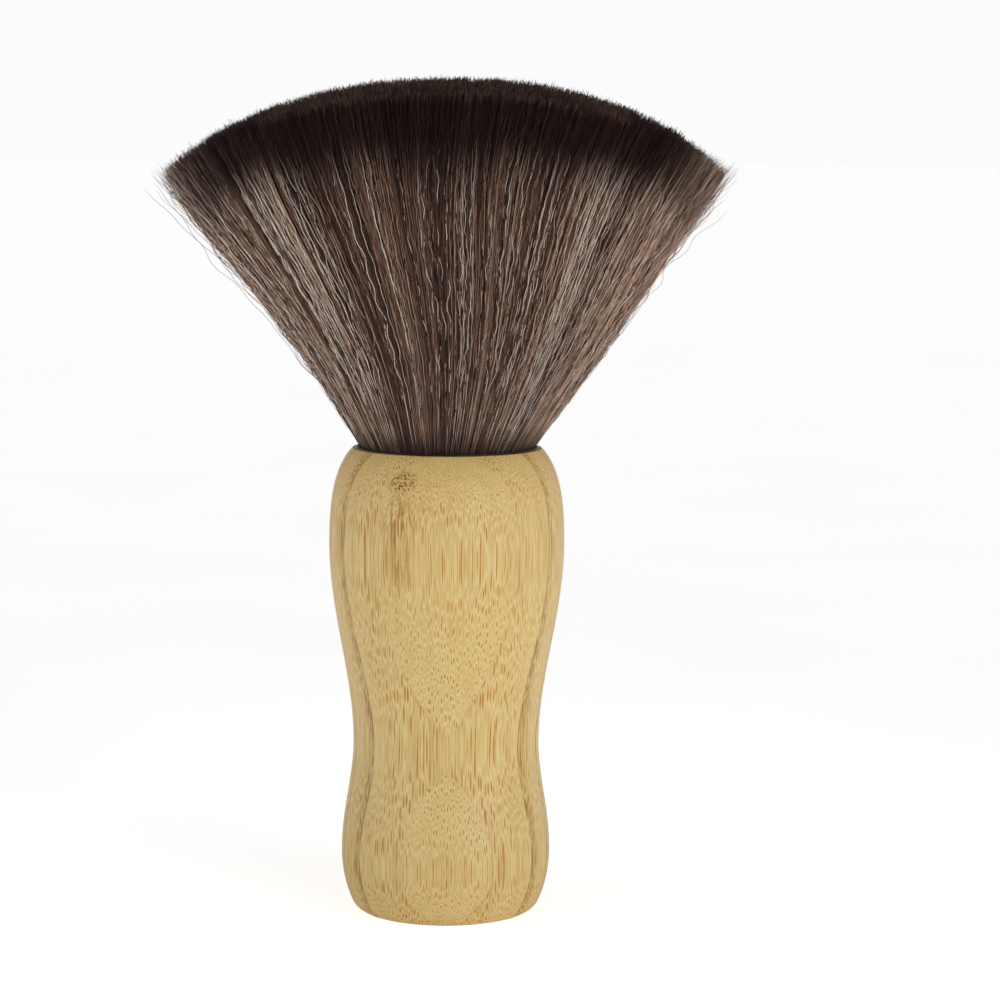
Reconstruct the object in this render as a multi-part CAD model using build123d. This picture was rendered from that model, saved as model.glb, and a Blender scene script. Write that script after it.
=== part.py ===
"""Neck duster brush: a turned bamboo handle with a wide fan of soft bristles set in its top.

All sizes are in millimetres. The origin is the centre of the flat foot, +Z runs up the handle to
the bristle tips, X runs across the wide fan and Y through its depth.
"""

import os

from build123d import *

# the whole brush
brush_height = 152.0

# handle outline, as radii at heights above the foot
foot_radius = 16.0
foot_edge_radius = 17.35
foot_edge_height = 1.45
bulge_radius = 19.25
bulge_height = 10.8
waist_radius = 17.1
waist_height = 31.1
belly_radius = 21.55
belly_height = 68.0
shoulder_radius = 18.55
shoulder_height = 83.75
mouth_radius = 17.3
handle_height = 85.3
foot_edge_lean = 0.44  # how far the side leans out for each millimetre up
shoulder_lean = -0.64

# bamboo slats glued face to face, numbered from the front of the brush to its back
slat_thickness = 6.1
first_seam = -17.25
seam_count = 7

# socket bored in the top of the handle
socket_radius = 16.4
socket_depth = 25.3

# thin plastic cup that holds the bristle roots
glue_thickness = 0.4
cup_wall = 0.8
cup_collar_height = 2.4
cup_lip_height = 0.3
cup_lip_width = 0.3
cup_flare_height = 3.0

# bristle roots, potted in resin and tied with thread
resin_depth = 8.0
binding_gap = 1.0
binding_height = 3.0
binding_thickness = 0.5

# free bristles: how far each side leans out for each millimetre up
fan_lean_across = 0.71
fan_lean_through = 0.125
fan_focus_height = 62.0  # centre of the round surface that the tips lie on

socket_floor = handle_height - socket_depth
cup_floor = socket_floor + glue_thickness
cup_radius = socket_radius - glue_thickness
cup_inner_radius = cup_radius - cup_wall
cup_inner_floor = cup_floor + cup_wall
cup_collar_bottom = handle_height - cup_collar_height
cup_top = handle_height + cup_lip_height
cup_mouth_radius = socket_radius - cup_lip_width
flare_bottom = cup_top - cup_flare_height
resin_top = cup_inner_floor + resin_depth
binding_bottom = resin_top + binding_gap
binding_top = binding_bottom + binding_height
tip_radius = brush_height - fan_focus_height


def spin(*outline):
    """Spin a closed outline of (radius, height) points about Z."""
    corners = [(radius, 0, height) for radius, height in outline]
    return revolve(make_face(Polyline(*corners, close=True)), Axis.Z)


def handle_blank():
    """The turned handle with its socket, before it is parted into slats."""
    side = Spline(
        (foot_edge_radius, 0, foot_edge_height),
        (bulge_radius, 0, bulge_height),
        (waist_radius, 0, waist_height),
        (belly_radius, 0, belly_height),
        (shoulder_radius, 0, shoulder_height),
        tangents=[
            (foot_edge_lean, 0, 1),
            (0, 0, 1),
            (0, 0, 1),
            (0, 0, 1),
            (shoulder_lean, 0, 1),
        ],
    )
    foot_edge = TangentArc(side @ 0, (foot_radius, 0, 0), tangent=side % 0 * -1)
    shoulder = TangentArc(side @ 1, (mouth_radius, 0, handle_height), tangent=side % 1)
    mouth = Polyline(
        (mouth_radius, 0, handle_height),
        (socket_radius, 0, handle_height),
        (socket_radius, 0, socket_floor),
        (0, 0, socket_floor),
        (0, 0, 0),
        (foot_radius, 0, 0),
    )
    return revolve(make_face([foot_edge, side, shoulder, mouth]), Axis.Z)


def slat_between(front, back):
    """The part of the handle between two seams, as its separate solids from the lowest up."""
    size = 4 * belly_radius
    slab = Box(size, back - front, size * 2, align=(Align.CENTER, Align.MIN, Align.CENTER))
    slat = handle_blank() & Pos(0, front, 0) * slab
    return slat.solids().sort_by(Axis.Z)


def handle_slats():
    """Every slat of the handle. The waist is turned right through the front slat."""
    seams = [first_seam + i * slat_thickness for i in range(seam_count)]
    front_lower, front_upper = slat_between(-2 * belly_radius, seams[0])
    slats = {"front_slat_lower": front_lower, "front_slat_upper": front_upper}
    for i in range(1, seam_count):
        slats[f"slat_{i + 1}"] = slat_between(seams[i - 1], seams[i])[0]
    slats["back_slat"] = slat_between(seams[-1], 2 * belly_radius)[0]
    return slats


def knot_cup():
    """The cup, with a collar that fits the socket and a thin lip just proud of the rim."""
    return spin(
        (0, cup_floor),
        (cup_radius, cup_floor),
        (cup_radius, cup_collar_bottom),
        (socket_radius, cup_collar_bottom + glue_thickness),
        (socket_radius, cup_top),
        (cup_mouth_radius, cup_top),
        (cup_inner_radius, flare_bottom),
        (cup_inner_radius, cup_inner_floor),
        (0, cup_inner_floor),
    )


def socket_adhesive():
    """The bed of glue between the cup and the socket, under the collar."""
    return spin(
        (0, socket_floor),
        (socket_radius, socket_floor),
        (socket_radius, cup_collar_bottom + glue_thickness),
        (cup_radius, cup_collar_bottom),
        (cup_radius, cup_floor),
        (0, cup_floor),
    )


def resin_plug():
    """The resin poured into the cup round the butts of the bristles."""
    return spin(
        (0, cup_inner_floor),
        (cup_inner_radius, cup_inner_floor),
        (cup_inner_radius, resin_top),
        (0, resin_top),
    )


def root_binding():
    """The band of thread tied round the roots."""
    tied_radius = cup_inner_radius - binding_thickness
    return spin(
        (tied_radius, binding_bottom),
        (cup_inner_radius, binding_bottom),
        (cup_inner_radius, binding_top),
        (tied_radius, binding_top),
    )


def bristle_bundle():
    """The bristles as one closed form: roots in the cup, and the fan up to its domed tips."""
    roots = spin(
        (0, resin_top),
        (cup_inner_radius, resin_top),
        (cup_inner_radius, flare_bottom),
        (cup_mouth_radius, cup_top),
        (0, cup_top),
    )
    fan_height = brush_height - cup_top
    fan = loft(
        [
            Pos(0, 0, cup_top) * Ellipse(cup_mouth_radius, cup_mouth_radius),
            Pos(0, 0, brush_height)
            * Ellipse(
                cup_mouth_radius + fan_lean_across * fan_height,
                cup_mouth_radius + fan_lean_through * fan_height,
            ),
        ],
        ruled=True,
    )
    fan &= Pos(0, 0, fan_focus_height) * Sphere(tip_radius)
    return (roots + fan - root_binding()).solid()


pieces = handle_slats()
pieces["knot_cup"] = knot_cup()
pieces["socket_adhesive"] = socket_adhesive()
pieces["resin_plug"] = resin_plug()
pieces["root_binding"] = root_binding()
pieces["bristle_bundle"] = bristle_bundle()

os.makedirs("parts", exist_ok=True)
for node, piece in pieces.items():
    piece.label = node
    export_step(piece, f"parts/{node}.step")
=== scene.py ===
"""Looks of a neck duster brush: turned laminated bamboo handle and a fan of fine crimped bristles."""

import math

import bpy
import numpy as np
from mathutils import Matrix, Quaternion, Vector
from mathutils.kdtree import KDTree


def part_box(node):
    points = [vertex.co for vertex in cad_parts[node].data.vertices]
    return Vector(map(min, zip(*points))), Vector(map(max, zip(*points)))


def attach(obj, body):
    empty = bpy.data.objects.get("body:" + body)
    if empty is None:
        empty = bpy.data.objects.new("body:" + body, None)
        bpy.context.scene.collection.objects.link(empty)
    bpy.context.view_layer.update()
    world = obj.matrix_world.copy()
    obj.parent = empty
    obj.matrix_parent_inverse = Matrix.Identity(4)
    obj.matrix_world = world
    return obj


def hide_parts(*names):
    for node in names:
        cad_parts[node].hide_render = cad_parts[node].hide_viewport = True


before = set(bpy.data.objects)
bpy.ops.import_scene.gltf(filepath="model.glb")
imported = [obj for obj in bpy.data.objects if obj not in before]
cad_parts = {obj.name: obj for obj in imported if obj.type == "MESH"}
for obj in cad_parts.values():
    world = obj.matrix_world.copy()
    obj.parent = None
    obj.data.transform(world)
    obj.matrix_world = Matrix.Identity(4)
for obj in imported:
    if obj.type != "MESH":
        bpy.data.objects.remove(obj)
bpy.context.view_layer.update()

MM = 0.001
rng = np.random.default_rng(7)

# handle: seams between the slats, from the front of the brush to its back
slat_thickness = 6.1 * MM
first_seam = -17.25 * MM
fibre_lean = 0.02  # how far the fibres lean to the front for each millimetre up

# a stem joint that shows on the front of the handle, and its half size, in millimetres
knot_place = (-8.1, -18.0, 81.0)
knot_reach = (3.4, 3.0, 2.3)
knotted_slat = 1
flame_place = (-9.0, -19.6, 71.0)  # darker fibres that run down from the joint
flame_reach = (4.8, 4.0, 11.0)

# fan of bristles, from the lip of the cup that holds them to their domed tips
lip_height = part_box("knot_cup")[1].z
lip_radius = 16.0 * MM
tip_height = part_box("bristle_bundle")[1].z
tip_centre_height = 62 * MM
lean_across = 0.71
lean_through = 0.125
fan_height = tip_height - lip_height
root_depth = 2.0 * MM
fan_bow = 0.10  # how much less a bristle leans at the lip than at its tip
fan_drift = 0.8 * MM  # how far the fan swings to one side below its middle, and to the other above it
fullness = 0.65 * MM  # how far the tips stand above a true dome between its crown and its corners
uneven = 0.2 * MM  # how much the bristles differ in length
shortfall = 0.3 * MM  # how much shorter they are besides, on average
corner_shortfall = 2.5 * MM  # and how much more at the corners
lopsided = 1.0 * MM  # how much longer the bristles are at the right end than at the left one
corner_start = 0.75  # share of the fan's half width at which its corners begin
frayed_share = 0.2  # share of the bristles at the corners that fray outwards
fray_reach = 0.04  # how far they fray, as a share of the disc of roots
ripple_push = 0.11  # how strongly the ripples push the bristles together in streaks
gather_start = 0.86  # share of the fan's height at which the tips start to gather in small clumps
tip_pull = 0.5  # how far they gather, up to 1
taper_length = 5 * MM
tufts = 24

# colour along a bristle is mapped in two parts: a root zone, then a dye zone that ends at the tip
root_zone = 36 * MM
dye_zone = 30 * MM
dye_start = 0.68
dye_full = 0.89
tip_light_start = 0.975  # from here up the tips are painted lighter, as painted light on the thin tips
dye_edge = 12 * MM  # distance below the tips of the front and back to the middle of the dye's edge
dye_edge_height = 136.6 * MM
dye_edge_radius = 400 * MM
dye_uneven = 1.4 * MM  # how much the dye's edge differs from bristle to bristle
dye_clump_uneven = 1.1 * MM  # and from clump to clump
weak_corners = 0.26  # how much less dye there is at the two corners of the fan
map_margin = 0.002  # keeps bristles off the very ends of the map of colours
tone_strips = 64  # the map is parted into this many strips of tone
pale_tone = 0.91  # tones from here up are the pale strands: partly lighter filaments, partly painted highlights


# ---------------------------------------------------------------- shader building


class Shader:
    """A node material: each call adds one node and returns the socket it gives out."""

    def __init__(self, name):
        self.material = bpy.data.materials.new(name)
        self.material.use_nodes = True
        self.nodes = self.material.node_tree.nodes
        self.links = self.material.node_tree.links
        self.surface = self.nodes["Principled BSDF"]

    def set(self, socket, value):
        if isinstance(value, bpy.types.NodeSocket):
            self.links.new(value, socket)
        else:
            socket.default_value = value

    def node(self, kind, inputs, output=0, **settings):
        made = self.nodes.new("ShaderNode" + kind)
        for key, value in settings.items():
            setattr(made, key, value)
        for key, value in inputs.items():
            self.set(made.inputs[key], value)
        return made.outputs[output]

    def position(self):
        """The place on the piece in millimetres, in the brush's own frame."""
        place = self.node("TexCoord", {}, "Object")
        return self.vector("MULTIPLY", place, (1 / MM, 1 / MM, 1 / MM))

    def vector(self, operation, a, b):
        return self.node("VectorMath", {0: a, 1: b}, operation=operation)

    def math(self, operation, a, b=0.0):
        return self.node("Math", {0: a, 1: b}, operation=operation)

    def axes(self, vector):
        split = self.nodes.new("ShaderNodeSeparateXYZ")
        self.set(split.inputs[0], vector)
        return split.outputs

    def axes_swapped(self, vector):
        """The vector with its Y and Z axes exchanged."""
        split = self.axes(vector)
        return self.node("CombineXYZ", {"X": split["X"], "Y": split["Z"], "Z": split["Y"]})

    def noise(self, vector, scale=1.0, detail=2.0, roughness=0.5, distortion=0.0, output="Fac"):
        inputs = {"Vector": vector, "Scale": scale, "Detail": detail, "Roughness": roughness}
        return self.node("TexNoise", inputs | {"Distortion": distortion}, output)

    def step(self, value, low, high, start=0.0, end=1.0):
        """Start below low, end above high, and a smooth change between."""
        inputs = {"Value": value, "From Min": low, "From Max": high, "To Min": start, "To Max": end}
        return self.node("MapRange", inputs, interpolation_type="SMOOTHSTEP")

    def mix(self, factor, a, b):
        """Colour a where factor is 0, and colour b where it is 1."""
        made = self.nodes.new("ShaderNodeMix")
        made.data_type = "RGBA"
        self.set(made.inputs["Factor"], factor)
        self.set(made.inputs["A"], a)
        self.set(made.inputs["B"], b)
        return made.outputs["Result"]

    def ramp(self, value, stops):
        made = self.nodes.new("ShaderNodeValToRGB")
        elements = made.color_ramp.elements
        while len(elements) < len(stops):
            elements.new(0.5)
        for element, (place, color) in zip(elements, stops):
            element.position = place
            element.color = color
        self.set(made.inputs[0], value)
        return made.outputs["Color"]

    def bump(self, height, depth, strength):
        """Raise the surface by up to depth, in metres, where height is 1."""
        inputs = {"Height": height, "Distance": depth, "Strength": strength}
        self.set(self.surface.inputs["Normal"], self.node("Bump", inputs))

    def finish(self, **values):
        for key, value in values.items():
            self.set(self.surface.inputs[key.replace("_", " ")], value)
        return self.material


def srgb(red, green, blue):
    """A colour given as 0 to 255 screen values, as the linear colour that shaders use."""
    def linear(value):
        value /= 255
        return value / 12.92 if value <= 0.04045 else ((value + 0.055) / 1.055) ** 2.4
    return (linear(red), linear(green), linear(blue), 1.0)


# ---------------------------------------------------------------- bamboo

straw_pale = srgb(231, 211, 155)
straw = srgb(214, 189, 127)
straw_dark = srgb(203, 174, 109)
straw_deep = srgb(196, 160, 90)
# the skin's brown, also used as painted shade round the shoulder
skin_and_shade_brown = srgb(162, 124, 58)
streak_brown = srgb(122, 82, 26)
pore_brown = srgb(180, 124, 34)
knot_brown = srgb(108, 64, 0)
flame_brown = srgb(156, 106, 32)
glue_brown = srgb(116, 74, 16)
glue_width = 0.03  # share of a slat's thickness that the glue stains at each face


def depth_in_slat(shader, place, slat):
    """How deep a place is in its slat, from 0 at the front face to 1 at the back face."""
    front = (first_seam + (slat - 2) * slat_thickness) / MM
    depth = shader.math("SUBTRACT", shader.axes(place)["Y"], front)
    return shader.math("DIVIDE", depth, slat_thickness / MM)


def grain(shader, place, slat):
    """The place as the fibres see it: across, rows of bundles from the front face back, and up.

    The fibres lean and wander a little, and the rows get flatter towards the back of the slat.
    """
    slow = shader.vector("MULTIPLY", place, (0.05, 0.05, 0.02))
    wander = shader.vector("SUBTRACT", shader.noise(slow, detail=1.0, output="Color"), (0.5, 0.5, 0.5))
    wander = shader.vector("MULTIPLY", wander, (2.0, 1.0, 0.0))
    lean = shader.node("CombineXYZ", {"Y": shader.math("MULTIPLY", shader.axes(place)["Z"], fibre_lean)})
    place = shader.vector("ADD", shader.vector("ADD", place, wander), lean)
    depth = depth_in_slat(shader, place, slat)
    rows = shader.math("MULTIPLY", shader.math("POWER", depth, 3.0), 3.5)
    rows = shader.math("ADD", rows, shader.math("MULTIPLY", depth, 5.0))
    split = shader.axes(place)
    along = shader.node("CombineXYZ", {"X": split["X"], "Y": rows, "Z": split["Z"]})
    return shader.vector("ADD", along, (slat * 13.7, slat * 5.3, slat * 31.0))


def bundles(shader, along, spacing, width):
    """Fibre bundles cut across as dots and along as streaks: how much pore, how much pale cap."""
    cells = shader.nodes.new("ShaderNodeTexVoronoi")
    cells.voronoi_dimensions = "2D"
    shader.set(cells.inputs["Vector"], shader.vector("MULTIPLY", along, spacing))
    cells.inputs["Scale"].default_value = 1.0
    cells.inputs["Randomness"].default_value = 0.75
    distance = shader.math("DIVIDE", cells.outputs["Distance"], width)
    # each bundle fades in and out on its way up
    own_part = shader.vector("MULTIPLY", cells.outputs["Color"], (90.0, 90.0, 90.0))
    climb = shader.vector("MULTIPLY", along, (0.0, 0.0, 0.13))
    fade = shader.step(shader.noise(shader.vector("ADD", own_part, climb)), 0.36, 0.56, 0.5, 1.0)
    pore = shader.math("MULTIPLY", shader.step(distance, 0.5, 1.0, 1.0, 0.0), fade)
    return pore, shader.step(distance, 1.0, 1.8, 1.0, 0.0)


def bamboo_knot(shader, place, color):
    """A patch where a stem joint was: its bundles turn out to the surface as bold dots."""
    from_knot = shader.vector("DIVIDE", shader.vector("SUBTRACT", place, knot_place), knot_reach)
    from_knot = shader.node("VectorMath", {0: from_knot}, "Value", operation="LENGTH")
    knot = shader.step(from_knot, 0.6, 1.1, 1.0, 0.0)
    dots, _ = bundles(shader, shader.axes_swapped(place), (1.6, 1.7, 0.0), 0.46)
    below = shader.vector("DIVIDE", shader.vector("SUBTRACT", place, flame_place), flame_reach)
    below = shader.node("VectorMath", {0: below}, "Value", operation="LENGTH")
    flame = shader.noise(shader.vector("MULTIPLY", place, (2.4, 2.4, 0.15)), detail=3.0, distortion=0.3)
    flame = shader.math("MULTIPLY", shader.step(flame, 0.44, 0.60), shader.step(below, 0.3, 1.1, 0.85, 0.0))
    color = shader.mix(flame, color, flame_brown)
    color = shader.mix(shader.math("MULTIPLY", knot, 0.2), color, pore_brown)
    return shader.mix(shader.math("MULTIPLY", dots, knot), color, knot_brown)


def bamboo_ground(shader, place, along, depth, fine, browner):
    """Fine fibres under the bundles: brown at the front face of the slat, and pale at the back."""
    broad = shader.noise(shader.vector("MULTIPLY", along, (0.45, 0.45, 0.02)), detail=3.0, roughness=0.55)
    color = shader.mix(shader.step(fine, 0.3, 0.7), straw_dark, straw)
    color = shader.mix(shader.step(broad, 0.4, 0.75, 0.0, 0.55), color, straw_deep)
    skin = shader.step(depth, 0.0, 0.3, browner, 0.2 * browner)
    color = shader.mix(skin, color, skin_and_shade_brown)
    color = shader.mix(shader.step(depth, 0.6, 1.0, 0.0, 0.12), color, straw_pale)
    # painted shade: a little browner up round the shoulder, where less light falls under the fan
    shoulder = shader.step(shader.axes(place)["Z"], 45.0, 85.0, 0.0, 0.2)
    return shader.mix(shoulder, color, skin_and_shade_brown)


def bamboo_bundles(shader, along, depth, pore, cap, browner, color):
    """Main bundles, small ones between them, and dark streaks under the skin."""
    patch = shader.noise(shader.vector("MULTIPLY", along, (0.16, 0.16, 0.025)))
    strength = shader.math("MULTIPLY", pore, shader.step(patch, 0.3, 0.6, 0.65, 1.0))
    color = shader.mix(shader.math("MULTIPLY", cap, 0.45), color, straw_pale)
    color = shader.mix(strength, color, pore_brown)
    small, _ = bundles(shader, along, (3.1, 2.4, 0.0), 0.34)
    small = shader.math("MULTIPLY", small, shader.step(depth, 0.0, 0.5, 0.45, 0.3))
    color = shader.mix(small, color, pore_brown)
    streaks = shader.noise(shader.vector("MULTIPLY", along, (3.0, 3.0, 0.2)), detail=3.0)
    under_skin = shader.step(depth, 0.1, 0.4, browner, 0.0)
    streaks = shader.math("MULTIPLY", shader.step(streaks, 0.5, 0.62), under_skin)
    return shader.mix(streaks, color, streak_brown)


def glue_lines(shader, place, depth, front_glue, back_glue, color):
    """A glue line along each face of the slat, stronger in some places than others."""
    broken = shader.step(shader.noise(shader.vector("MULTIPLY", place, (0.1, 0.1, 0.16))), 0.35, 0.6)
    at_front = shader.step(depth, 0.0, glue_width, front_glue, 0.0)
    at_back = shader.step(depth, 1 - glue_width, 1.0, 0.0, back_glue)
    glue = shader.math("MULTIPLY", shader.math("ADD", at_front, at_back), broken)
    return shader.mix(glue, color, glue_brown)


def bamboo(slat, browner, front_glue, back_glue):
    """Bamboo with its fibre bundles running up the handle.

    Bundles are dense and brown near the front face of each slat, and sparse and pale near its back.
    """
    shader = Shader(f"bamboo_{slat}")
    place = shader.position()
    along = grain(shader, place, slat)
    depth = depth_in_slat(shader, place, slat)

    fine = shader.noise(shader.vector("MULTIPLY", along, (4.0, 4.0, 0.09)), detail=4.0, roughness=0.6)
    width = shader.step(depth, -0.1, 1.1, 0.36, 0.28)
    pore, cap = bundles(shader, along, (1.6, 1.2, 0.0), width)
    color = bamboo_ground(shader, place, along, depth, fine, browner)
    color = bamboo_bundles(shader, along, depth, pore, cap, browner, color)
    if slat == knotted_slat:
        color = bamboo_knot(shader, place, color)
    color = glue_lines(shader, place, depth, front_glue, back_glue, color)

    relief = shader.math("SUBTRACT", shader.math("MULTIPLY", fine, 0.5), shader.math("MULTIPLY", pore, 0.5))
    shader.bump(relief, 0.02 * MM, 0.35)
    return shader.finish(
        Base_Color=color, Roughness=0.5, Specular_IOR_Level=0.3, Coat_Weight=0.08, Coat_Roughness=0.3
    )


# ---------------------------------------------------------------- plastic, glue, resin, thread


def black_plastic():
    shader = Shader("black_plastic")
    speck = shader.noise(shader.position(), 2.0, 3.0)
    color = shader.mix(speck, srgb(10, 9, 9), srgb(22, 20, 19))
    shader.bump(speck, 0.01 * MM, 0.3)
    return shader.finish(Base_Color=color, Roughness=0.5, Specular_IOR_Level=0.25)


def clear_glue(name, thin, thick):
    shader = Shader(name)
    cloud = shader.noise(shader.position(), 0.4, 3.0)
    return shader.finish(Base_Color=shader.mix(cloud, thin, thick), Roughness=0.25)


def wound_thread():
    shader = Shader("wound_thread")
    turns = shader.math("SINE", shader.math("MULTIPLY", shader.axes(shader.position())["Z"], 12.0))
    shader.bump(turns, 0.1 * MM, 0.8)
    # painted shade: the thread is darker in the grooves between its turns
    color = shader.mix(turns, srgb(150, 142, 126), srgb(214, 208, 194))
    return shader.finish(Base_Color=color, Roughness=0.8)


# ---------------------------------------------------------------- bristles


def bristle_hair():
    """Brown filament with a dyed tip. Its colours follow a map of tone against place along it."""
    shader = Shader("bristle_hair")
    split = shader.axes(shader.node("UVMap", {}, uv_map="OFBake"))
    tone, along = split["X"], split["Y"]
    tint = shader.ramp(tone, [
        (0.00, srgb(34, 21, 18)),
        (0.30, srgb(80, 56, 46)),
        (0.60, srgb(134, 103, 88)),
        (0.88, srgb(216, 182, 157)),
        # the palest stops colour the pale strands, partly as painted highlights
        (0.91, srgb(230, 211, 196)),
        (1.00, srgb(255, 247, 238)),
    ])
    # painted shade: the roots are darkened strongly up to some 7 mm above the cup's lip, where the lip
    # shades them, and the lower part of each bristle a little, where the fan shades itself
    lip_shade = shader.step(along, 0.0, 0.1, 0.85, 0.0)
    shade = shader.math("MAXIMUM", lip_shade, shader.step(along, 0.0, 0.5, 0.24, 0.0))
    undyed_with_shade = shader.mix(shade, tint, srgb(36, 25, 21))
    dyed = shader.mix(shader.math("POWER", tone, 2.0), srgb(29, 18, 16), srgb(66, 45, 39))
    # painted light: the very tips turn paler, for the light that the thin tips catch
    lit_tip = shader.mix(shader.math("POWER", tone, 2.0), srgb(34, 23, 20), srgb(200, 155, 135))
    dyed = shader.mix(shader.step(along, tip_light_start, 1.0, 0.0, 0.55), dyed, lit_tip)
    color = shader.mix(shader.step(along, dye_start, dye_full), undyed_with_shade, dyed)
    return shader.finish(Base_Color=color, Roughness=0.45, Specular_IOR_Level=0.12)


def bristle_length(disc):
    """Height above the lip at which a bristle meets the dome of the tips."""
    radius = tip_height - tip_centre_height
    start = lip_height - tip_centre_height
    lean = np.array([lean_across, lean_through])
    a = 1 + ((disc * lean) ** 2).sum(1)
    b = 2 * (start + (disc**2 * lean).sum(1) * lip_radius)
    c = (disc**2).sum(1) * lip_radius**2 + start**2 - radius**2
    return (-b + np.sqrt(b * b - 4 * a * c)) / (2 * a) + fullness * np.sin(math.pi * np.abs(disc[:, 0]))


def disc_points(count, inner=0.0, sideways=0.0):
    """Random places on the disc of roots, from a share of its radius out to its edge.

    A higher sideways keeps them nearer to the two ends of the fan.
    """
    reach = math.acos(sideways)
    angle = rng.uniform(-reach, reach, count) + math.pi * rng.integers(0, 2, count)
    radius = np.sqrt(rng.uniform(inner**2, 1, count))
    return np.stack([radius * np.cos(angle), radius * np.sin(angle)], 1)


def ripples():
    """Waves that push neighbouring bristles together in streaks, coarse to fine."""
    waves = []
    for fineness in (14, 26, 55, 120):
        for _ in range(10):
            angle = rng.uniform(0, 2 * math.pi)
            vector = fineness * rng.uniform(0.7, 1.4) * np.array([math.cos(angle), math.sin(angle)])
            waves.append((vector, rng.uniform(-5, 5), rng.uniform(0, 2 * math.pi)))
    return waves


waves = ripples()


def streaked(disc, rise):
    """Where each bristle is on the disc at each height, after the ripples have moved it."""
    place = np.repeat(disc[:, None, :], rise.shape[1], axis=1)
    moved = np.zeros_like(place)
    for vector, climb, phase in waves:
        push = np.sin((disc @ vector)[:, None] + climb * rise + phase)
        moved += push[:, :, None] * vector * (ripple_push / (vector @ vector))
    place += moved * np.clip(rise * 1.2, 0, 1)[:, :, None]
    # bristles pushed past the edge of the disc come most of the way back to it
    return place / np.maximum(1, np.linalg.norm(place, axis=2, keepdims=True)) ** 0.8


class Clumps:
    """Places on the disc that the bristles near them gather to."""

    def __init__(self, count):
        self.places = disc_points(count)
        self.tone = rng.normal(0, 1, count)
        self.tree = KDTree(count)
        for index, (x, y) in enumerate(self.places):
            self.tree.insert((x, y, 0), index)
        self.tree.balance()

    def nearest(self, disc):
        return np.array([self.tree.find((x, y, 0))[1] for x, y in disc])


tip_clumps = Clumps(8500)
tone_clumps = Clumps(900)


def wavy(height, period, amount):
    """An irregular wave along each bristle, from three sines of unlike length."""
    count = len(height)
    total = np.zeros_like(height)
    for stretch, share in ((1.0, 0.8), (1.7, 0.7), (3.1, 0.9)):
        length = period * stretch * rng.uniform(0.75, 1.3, (count, 1))
        total += share * np.sin(2 * math.pi * height / length + rng.uniform(0, 2 * math.pi, (count, 1)))
    return total * amount * rng.uniform(0.4, 1.4, (count, 1))


def bristle_paths(disc, rings, crimp, period, stray):
    """Points along each bristle, its length, and the height of each point above the lip."""
    count = len(disc)
    corner = np.clip((np.abs(disc[:, 0]) - corner_start) / (1 - corner_start), 0, 1)
    fray = corner * rng.exponential(fray_reach, count) * np.sign(disc[:, 0])
    fray = fray * (rng.random(count) < frayed_share)
    clump = tip_clumps.nearest(disc)
    tip_place = streaked(disc, np.ones((count, 1)))[:, 0]
    tip_place[:, 0] += fray
    length = bristle_length(tip_place) + uneven * (tip_clumps.tone[clump] + rng.normal(0, 1, count))
    length += 0.5 * lopsided * disc[:, 0] - rng.exponential(shortfall, count)
    length -= corner * rng.exponential(corner_shortfall, count)
    # the points are a little closer together near the tip
    t = np.linspace(0, 1, rings) ** 0.9
    height = t * (length + root_depth)[:, None] - root_depth
    rise = np.clip(height / fan_height, 0, None)

    place = streaked(disc, rise)
    gather = np.clip((rise - gather_start) / (1 - gather_start), 0, 1) ** 1.5 * tip_pull
    place += (tip_clumps.places[clump] - disc)[:, None, :] * gather[:, :, None]
    # strays part from the others low down, and run along beside them higher up
    place += stray[:, None, :] * (rise * (1.5 - 0.7 * rise))[:, :, None]
    place[..., 0] += fray[:, None] * rise**2

    bowed = height * (1 + fan_bow * (rise - 1))
    x = place[..., 0] * (lip_radius + lean_across * bowed)
    x += fan_drift * np.sin(2 * math.pi * np.clip(rise, 0, 1))
    y = place[..., 1] * (lip_radius + lean_through * bowed)
    # the waves grow from nothing at the lip, and are wider at the corners
    free = np.clip(rise * 4, 0, 1) * (1 + corner[:, None])
    x += wavy(height, period, crimp) * free
    y += wavy(height, period, crimp) * free
    return np.stack([x, y, lip_height + height], 2), length, height


def color_place(disc, height, length, clump_tone):
    """Where each point of a bristle is on the map of colours, from 0 at its root to 1 at its tip.

    The dye's edge is nearly level, so at the low corners of the fan it is close to the tips.
    """
    count = len(disc)
    across = disc[:, 0] * (lip_radius + lean_across * length)
    edge = dye_edge_height - across**2 / (2 * dye_edge_radius)
    shift = dye_edge - (lip_height + length - edge)
    shift = shift + rng.normal(0, dye_uneven, count) + dye_clump_uneven * clump_tone
    from_tip = length[:, None] - height
    from_tip = from_tip + shift[:, None] * np.clip(from_tip / dye_edge, 0, 1)
    dyed = 1 - np.clip(from_tip / dye_zone, 0, 1)
    most = 1 - map_margin - weak_corners * np.clip((np.abs(disc[:, :1]) - 0.55) / 0.45, 0, 1)
    return np.clip(0.5 * np.clip(height / root_zone, 0, 1) + 0.5 * dyed, map_margin, most)


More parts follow.
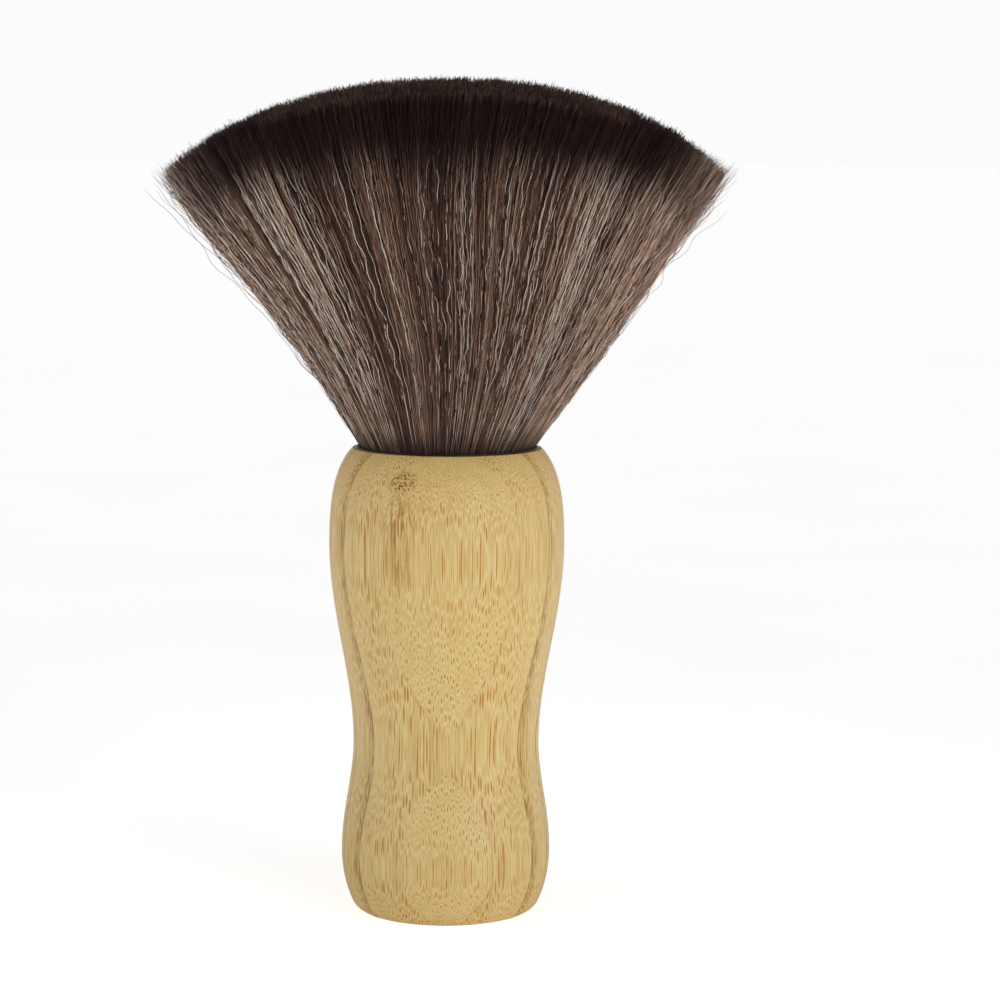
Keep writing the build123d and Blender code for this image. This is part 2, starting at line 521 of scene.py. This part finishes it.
def tube_mesh(paths, radii, tones, dye):
    """Points, corners, face sizes and UVs of closed three-sided tubes, one along each path."""
    count, rings, _ = paths.shape
    tangent = np.gradient(paths, axis=1)
    tangent /= np.linalg.norm(tangent, axis=2, keepdims=True)
    side = np.cross(tangent, np.array([0.31, 0.95, 0.05]))
    side /= np.linalg.norm(side, axis=2, keepdims=True)
    other = np.cross(tangent, side)
    turn = np.arange(3) * 2 * math.pi / 3
    ring = side[:, :, None] * np.cos(turn)[:, None] + other[:, :, None] * np.sin(turn)[:, None]
    points = (paths[:, :, None] + ring * radii[:, :, None, None]).reshape(-1, 3)

    first = np.arange(count)[:, None, None] * rings * 3
    low = first + np.arange(rings - 1)[:, None] * 3 + np.arange(3)
    beside = first + np.arange(rings - 1)[:, None] * 3 + (np.arange(3) + 1) % 3
    quads = np.stack([low, beside, beside + 3, low + 3], 3).reshape(-1, 4)
    root = first[:, 0, 0]
    tip = root + (rings - 1) * 3
    caps = np.concatenate([
        np.stack([root + 2, root + 1, root], 1),
        np.stack([tip, tip + 1, tip + 2], 1),
    ])

    # each tone is a narrow strip of the map, and the place along the bristle runs up it
    strip = np.floor(np.clip(tones, 0, 0.999) * tone_strips)[:, None, None]
    u = np.broadcast_to((strip + np.array([0.15, 0.5, 0.85])) / tone_strips, (count, rings, 3))
    v = np.broadcast_to(dye[:, :, None], (count, rings, 3))
    return points, quads, caps, np.stack([u, v], 3).reshape(-1, 2)


def build_piece(name, tubes, material):
    """One object from several lots of tubes."""
    start = np.cumsum([0] + [len(points) for points, _, _, _ in tubes])
    points = np.concatenate([points for points, _, _, _ in tubes])
    quads = np.concatenate([quads + at for (_, quads, _, _), at in zip(tubes, start)])
    caps = np.concatenate([caps + at for (_, _, caps, _), at in zip(tubes, start)])
    uvs = np.concatenate([uv for _, _, _, uv in tubes])
    corners = np.concatenate([quads.ravel(), caps.ravel()])
    sizes = np.concatenate([np.full(len(quads), 4), np.full(len(caps), 3)])

    mesh = bpy.data.meshes.new(name)
    mesh.vertices.add(len(points))
    mesh.vertices.foreach_set("co", points.astype(np.float32).ravel())
    mesh.loops.add(len(corners))
    mesh.loops.foreach_set("vertex_index", corners.astype(np.int32))
    mesh.polygons.add(len(sizes))
    mesh.polygons.foreach_set("loop_start", (np.cumsum(sizes) - sizes).astype(np.int32))
    mesh.polygons.foreach_set("use_smooth", np.ones(len(sizes), bool))
    mesh.update(calc_edges=True)
    layer = mesh.uv_layers.new(name="OFBake")
    layer.data.foreach_set("uv", uvs[corners].astype(np.float32).ravel())
    mesh.materials.append(material)
    piece = bpy.data.objects.new(name, mesh)
    bpy.context.scene.collection.objects.link(piece)
    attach(piece, "root")
    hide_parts("bristle_bundle")


def bristles(count, inner, rings, radius, crimp, period, stray, tone, splay=0.0, sideways=0.0):
    """Bristles of one kind: their places on the disc, and their paths, radii, tones and dye.

    Inner and sideways say which part of the disc they stand on, as in disc_points. Crimp and period are
    the height and length of their waves. Stray moves their tips to any side and splay moves them
    outwards, both as shares of the disc.
    """
    disc = disc_points(count, inner, sideways)
    astray = rng.normal(0, stray, (count, 2)) + disc * np.abs(rng.normal(0, splay, (count, 1)))
    paths, length, height = bristle_paths(disc, rings, crimp, period, astray)

    # even, then drawn out to a fine tip
    left = np.clip((length[:, None] - height) / taper_length, 0, 1)
    radii = radius * rng.uniform(0.8, 1.2, (count, 1)) * (0.4 + 0.6 * np.sqrt(left))

    clump_tone = tone_clumps.tone[tone_clumps.nearest(disc)]
    # the tones are paler towards the two ends of the fan, the right one above all: partly the hair's own
    # tone, partly painted light from the side lights, strongest on the right
    aside = np.clip(np.abs(disc[:, 0]) - 0.48, 0, 1)
    side_tone_and_light = aside * np.where(disc[:, 0] > 0, 0.60, 0.32)
    if tone < pale_tone:
        tones = rng.normal(tone, 0.20 + 0.26 * aside) + 0.06 * clump_tone + side_tone_and_light
        tones = np.clip(tones, 0, pale_tone - 0.03)
    else:
        tones = rng.uniform(tone, 1.0, count)
    return disc, paths, radii, tones, color_place(disc, height, length, clump_tone)


def grow_bristles():
    """All the bristles, parted into tufts round the fan."""
    hair = bristle_hair()
    kinds = [
        # inner, seen only at their tips
        bristles(
            count=36000, inner=0.0, rings=5, radius=0.070 * MM,
            crimp=0.05 * MM, period=8 * MM, stray=0.010, tone=0.40,
        ),
        # outer, seen along their whole length
        bristles(
            count=9000, inner=0.86, rings=28, radius=0.080 * MM,
            crimp=0.08 * MM, period=4.5 * MM, stray=0.012, tone=0.31,
        ),
        # fine crimped strands on the outside
        bristles(
            count=3000, inner=0.95, rings=50, radius=0.070 * MM,
            crimp=0.12 * MM, period=3.2 * MM, stray=0.014, tone=0.44,
        ),
        # pale wavy strands that lie on the outside, more of them towards the two ends of the fan: partly
        # lighter filaments, partly painted highlights on crimped bristles
        bristles(
            count=250, inner=0.985, rings=50, radius=0.050 * MM,
            crimp=0.16 * MM, period=4.2 * MM, stray=0.006, tone=pale_tone, splay=0.018,
        ),
        bristles(
            count=190, inner=0.985, rings=50, radius=0.050 * MM,
            crimp=0.14 * MM, period=4.2 * MM, stray=0.006, tone=pale_tone, splay=0.018, sideways=0.5,
        ),
        # strays that stand off the outside, most of them at the two ends of the fan
        bristles(
            count=300, inner=0.97, rings=44, radius=0.045 * MM,
            crimp=0.22 * MM, period=6 * MM, stray=0.014, tone=0.55, splay=0.035,
        ),
        bristles(
            count=400, inner=0.94, rings=50, radius=0.045 * MM,
            crimp=0.20 * MM, period=5 * MM, stray=0.016, tone=0.45, splay=0.025, sideways=0.93,
        ),
        bristles(
            count=90, inner=0.97, rings=50, radius=0.045 * MM,
            crimp=0.24 * MM, period=6 * MM, stray=0.02, tone=0.40, splay=0.06, sideways=0.96,
        ),
    ]
    for tuft in range(tufts):
        tubes = []
        for disc, paths, radii, tones, dye in kinds:
            turn = np.arctan2(disc[:, 1], disc[:, 0]) / (2 * math.pi) % 1
            mine = np.floor(turn * tufts) == tuft
            tubes.append(tube_mesh(paths[mine], radii[mine], tones[mine], dye[mine]))
        build_piece(f"bristles_{tuft + 1:02d}", tubes, hair)


# ---------------------------------------------------------------- stage


wall_glow = 0.97  # matches the lit floor at the horizon
floor_glow = 0.65
floor_glow_seen = 0.72  # close to the foot, as the camera sees it
floor_glow_lit = 0.17  # close to the foot, as it lights the brush
horizon_glow = 0.75  # the walls round the horizon, as they light the brush


def soft_sun(name, turn, height, power, softness):
    """A wide soft light, turned from straight in front of the brush, and so high, in degrees."""
    data = bpy.data.lights.new(name, "SUN")
    data.energy = power
    data.angle = math.radians(softness)
    light = bpy.data.objects.new(name, data)
    light.rotation_euler = (math.radians(90 - height), 0, math.radians(turn))
    bpy.context.scene.collection.objects.link(light)


def studio_walls():
    """White to the camera; to the brush, bright round the horizon and dim overhead."""
    world = bpy.data.worlds.new("studio")
    world.use_nodes = True
    nodes, links = world.node_tree.nodes, world.node_tree.links
    direction = nodes.new("ShaderNodeTexCoord")
    split = nodes.new("ShaderNodeSeparateXYZ")
    glow = nodes.new("ShaderNodeMapRange")
    glow.inputs["To Min"].default_value = horizon_glow
    glow.inputs["To Max"].default_value = 0.0
    seen = nodes.new("ShaderNodeLightPath")
    strength = nodes.new("ShaderNodeMapRange")
    strength.inputs["To Max"].default_value = wall_glow
    links.new(direction.outputs["Generated"], split.inputs[0])
    links.new(split.outputs["Z"], glow.inputs["Value"])
    links.new(glow.outputs["Result"], strength.inputs["To Min"])
    links.new(seen.outputs["Is Camera Ray"], strength.inputs["Value"])
    links.new(strength.outputs["Result"], nodes["Background"].inputs["Strength"])
    nodes["Background"].inputs["Color"].default_value = (1, 1, 1, 1)
    bpy.context.scene.world = world


def stage():
    studio_walls()
    bpy.ops.mesh.primitive_plane_add(size=60)
    floor = bpy.context.object
    floor.name = "floor"
    shader = Shader("light_table")
    cloud = shader.noise(shader.position(), 0.01, 2.0)
    color = shader.mix(cloud, srgb(247, 247, 247), srgb(252, 252, 252))
    outwards = shader.node("VectorMath", {0: shader.position()}, "Value", operation="LENGTH")
    # painted shadow: to the brush, the floor glows less close to the foot, standing in for the shade round
    # it
    glow = shader.step(outwards, 10.0, 140.0, floor_glow_lit, floor_glow)
    # painted light: to the camera, the floor glows brighter close to the foot, fading out by 300 mm, which
    # whitens the shadow the brush casts
    seen = shader.node("LightPath", {}, "Is Camera Ray")
    seen = shader.math("MULTIPLY", seen, shader.step(outwards, 80.0, 300.0, floor_glow_seen, floor_glow))
    glow = shader.math("MAXIMUM", glow, seen)
    floor.data.materials.append(shader.finish(
        Base_Color=color, Roughness=0.8, Emission_Color=color, Emission_Strength=glow
    ))

    soft_sun("left_softbox", turn=-68, height=3, power=1.00, softness=50)
    soft_sun("right_softbox", turn=45, height=2, power=2.25, softness=50)


def camera():
    data = bpy.data.cameras.new("camera")
    data.lens = 106.7
    made = bpy.data.objects.new("camera", data)
    made.location = (0, -0.539, 0.1393)
    aim = Vector((9.7 * MM, 0, 75.65 * MM))
    level = (aim - made.location).to_track_quat("-Z", "Y")
    roll = Quaternion((0, 0, 1), math.radians(0.35))
    made.rotation_euler = (level @ roll).to_euler()
    bpy.context.scene.collection.objects.link(made)
    bpy.context.scene.camera = made


# ---------------------------------------------------------------- the brush

slats = {
    "front_slat_upper": 1,
    "front_slat_lower": 1,
    "slat_2": 2,
    "slat_3": 3,
    "slat_4": 4,
    "slat_5": 5,
    "slat_6": 6,
    "slat_7": 7,
    "back_slat": 8,
}
# how brown each slat is, and how dark the glue is along its front face
brownness = {1: 0.08, 2: 0.08, 3: 0.65, 4: 0.40, 5: 0.25, 6: 0.50, 7: 0.25, 8: 0.15}
glue_darkness = {1: 0.0, 2: 0.10, 3: 0.75, 4: 0.40, 5: 0.55, 6: 0.35, 7: 0.60, 8: 0.30, 9: 0.0}
bamboos = {
    slat: bamboo(slat, brownness[slat], glue_darkness[slat], glue_darkness[slat + 1])
    for slat in brownness
}


def give(node, material):
    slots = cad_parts[node].data.materials
    slots.clear()
    slots.append(material)


for node, slat in slats.items():
    give(node, bamboos[slat])
give("knot_cup", black_plastic())
give("socket_adhesive", clear_glue("adhesive", srgb(214, 205, 176), srgb(196, 184, 150)))
give("resin_plug", clear_glue("resin", srgb(146, 108, 62), srgb(110, 78, 42)))
give("root_binding", wound_thread())
grow_bristles()
stage()
camera()
bpy.context.scene.view_settings.view_transform = "Standard"
